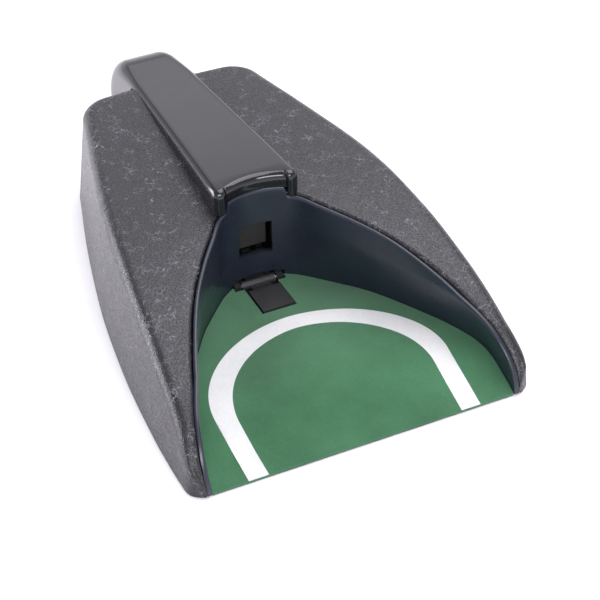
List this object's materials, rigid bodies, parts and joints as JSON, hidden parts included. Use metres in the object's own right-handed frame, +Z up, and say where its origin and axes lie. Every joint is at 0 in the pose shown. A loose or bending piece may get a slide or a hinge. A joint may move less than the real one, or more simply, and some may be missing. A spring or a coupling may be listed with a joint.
{
  "type": "electric putting cup",
  "caption": "Wedge-shaped ball-return putting cup: green ramp into a curved throat, tipping trigger plate, solenoid kicker under a raised hood.",
  "frame": {"origin": "centre of the bounding box in plan, at the floor plane the four rubber feet stand on", "axes": "+Z up, +Y from the throat's mouth back to the hood's tail, +X towards the right arm as the golfer sees the cup from the front"},
  "size_m": [0.167, 0.276, 0.067],
  "materials": {
    "textured_black_plastic": "black moulded plastic with a fine pebbled grain",
    "gloss_black_plastic": "polished black",
    "liner_black_plastic": "smooth semi-gloss black",
    "plain_black_plastic": "matt black",
    "turf": "short green turf felt with a printed white line",
    "rubber": "matt black",
    "steel": "bright",
    "zinc_plate": "zinc plated",
    "copper_wire": "enamelled copper",
    "brass_strip": "plain",
    "white_plastic": "natural white",
    "red_plastic": "red",
    "circuit_laminate": "green solder mask",
    "cell_jacket": "printed sleeve, left plain",
    "capacitor_sleeve": "blue sleeve",
    "wire_red": "insulation",
    "wire_black": "insulation",
    "wire_white": "insulation"
  },
  "bodies": {
    "casing": {"top_shell": "textured_black_plastic", "hood_cover": "gloss_black_plastic", "throat_liner": "liner_black_plastic", "green_mat": "turf", "ramp_deck": "plain_black_plastic", "base_plate": "plain_black_plastic", "plunger_bumper": "rubber", "solenoid_frame": "zinc_plate", "coil_bobbin": "white_plastic", "coil_winding": "copper_wire", "solenoid_cradle": "plain_black_plastic", "solenoid_screw_1": "zinc_plate", "solenoid_screw_2": "zinc_plate", "trigger_pin": "steel", "trigger_switch": "plain_black_plastic", "circuit_board": "circuit_laminate", "capacitor": "capacitor_sleeve", "driver_chip": "plain_black_plastic", "wire_connector": "white_plastic", "board_screw_1": "zinc_plate", "board_screw_2": "zinc_plate", "battery_tray": "plain_black_plastic", "battery_cell_1": "cell_jacket", "battery_cell_2": "cell_jacket", "battery_cell_3": "cell_jacket", "battery_cell_4": "cell_jacket", "contact_front_left": "brass_strip", "contact_front_middle": "brass_strip", "contact_front_right": "brass_strip", "contact_rear_left": "brass_strip", "contact_rear_right": "brass_strip", "contact_spring_1": "steel", "contact_spring_2": "steel", "contact_spring_3": "steel", "contact_spring_4": "steel", "power_switch_body": "plain_black_plastic", "power_inlet": "plain_black_plastic", "coil_lead": "wire_white", "battery_lead": "wire_red", "trigger_lead": "wire_white", "power_lead": "wire_black", "case_screw_1": "zinc_plate", "case_screw_2": "zinc_plate", "case_screw_3": "zinc_plate", "case_screw_4": "zinc_plate", "hood_screw_1": "zinc_plate", "hood_screw_2": "zinc_plate", "rubber_foot_1": "rubber", "rubber_foot_2": "rubber", "rubber_foot_3": "rubber", "rubber_foot_4": "rubber", "return_spring": "steel", "trigger_spring": "steel"},
    "kicker": {"kicker_head": "rubber", "kicker_plunger": "steel", "retaining_clip": "steel"},
    "trigger": {"trigger_plate": "plain_black_plastic"},
    "switch_button": {"trigger_switch_button": "red_plastic"},
    "battery_door": {"battery_door": "plain_black_plastic"},
    "power_slider": {"power_switch_slider": "red_plastic"}
  },
  "joints": [
    {"name": "kicker_stroke", "type": "slide", "parent": "casing", "child": "kicker", "axis": [0, -1, 0], "range_m": [0, 0.015], "stiffness_N_per_m": 60, "springref_m": -0.01, "deforming": ["return_spring"]},
    {"name": "trigger_tilt", "type": "hinge", "parent": "casing", "child": "trigger", "pos_m": [0, -0.02, 0.0062], "axis": [1, 0, 0], "range_deg": [0, 4], "stiffness_Nm_per_rad": 0.03, "springref_deg": -2.86, "deforming": ["trigger_spring"]},
    {"name": "switch_button_press", "type": "slide", "parent": "casing", "child": "switch_button", "axis": [0, -1, 0], "range_m": [0, 0.0006]},
    {"name": "battery_door_hinge", "type": "hinge", "parent": "casing", "child": "battery_door", "pos_m": [0, 0.083, 0.0023], "axis": [1, 0, 0], "range_deg": [0, 95]},
    {"name": "power_switch_slide", "type": "slide", "parent": "casing", "child": "power_slider", "axis": [0, 0, 1], "range_m": [0, 0.0044]}
  ],
  "couplings": [
    {"joint": "switch_button_press", "follows": "trigger_tilt", "m_per_rad": 0.0078}
  ]
}
